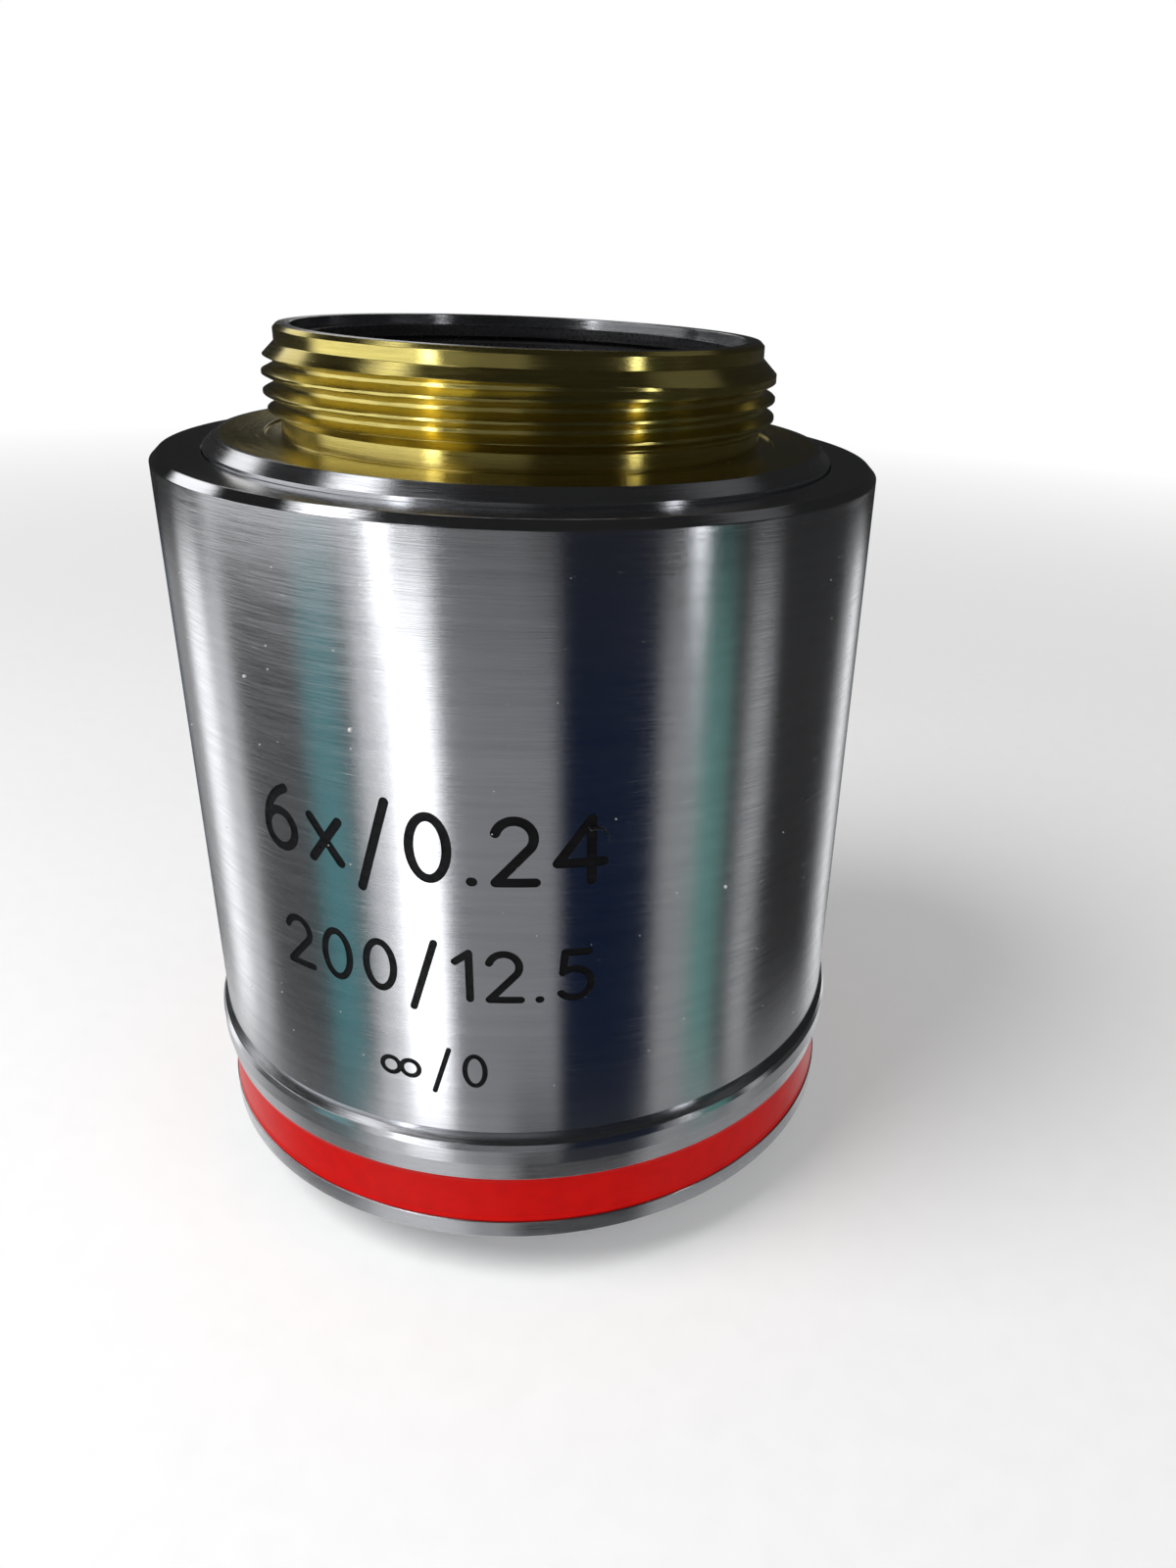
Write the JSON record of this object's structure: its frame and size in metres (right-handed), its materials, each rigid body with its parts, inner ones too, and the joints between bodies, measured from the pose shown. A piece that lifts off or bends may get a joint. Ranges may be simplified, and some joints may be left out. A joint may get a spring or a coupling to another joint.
{
  "type": "microscope objective",
  "caption": "Low power microscope objective with a threaded brass neck, plated barrel, red colour band and a full lens train inside.",
  "frame": {"origin": "centre of the flat annular shoulder that seats against the nosepiece", "axes": "+Z along the optical axis from the nose towards the tube; -Y faces the camera of the picture"},
  "size_m": [0.0296, 0.0296, 0.0365],
  "materials": {
    "brass": "turned, bare",
    "plating": "satin chrome with fine turning lines",
    "black_brass": "blackened, matt",
    "black_aluminium": "black anodised, matt",
    "crown_glass": "polished, coated",
    "flint_glass": "polished, coated",
    "steel": "plain",
    "red_enamel": "gloss",
    "black_paint": "matt"
  },
  "bodies": {
    "root": {"mount_body": "brass", "rear_baffle_tube": "black_brass", "parfocal_shim": "brass", "rear_cell": "black_aluminium", "rear_doublet_crown": "crown_glass", "rear_doublet_flint": "flint_glass", "rear_retaining_ring": "black_aluminium", "aperture_stop": "black_brass", "middle_cell": "black_aluminium", "middle_doublet_crown": "crown_glass", "middle_doublet_flint": "flint_glass", "middle_retaining_ring": "black_aluminium", "stack_lock_ring": "black_brass", "front_cell": "black_brass", "front_doublet_flint": "flint_glass", "front_doublet_crown": "crown_glass", "front_spacer": "black_aluminium", "front_lens": "crown_glass", "front_retaining_ring": "black_aluminium", "centring_screws": "steel", "nose_ring": "plating", "colour_band": "red_enamel", "barrel_sleeve": "plating"}
  },
  "joints": []
}
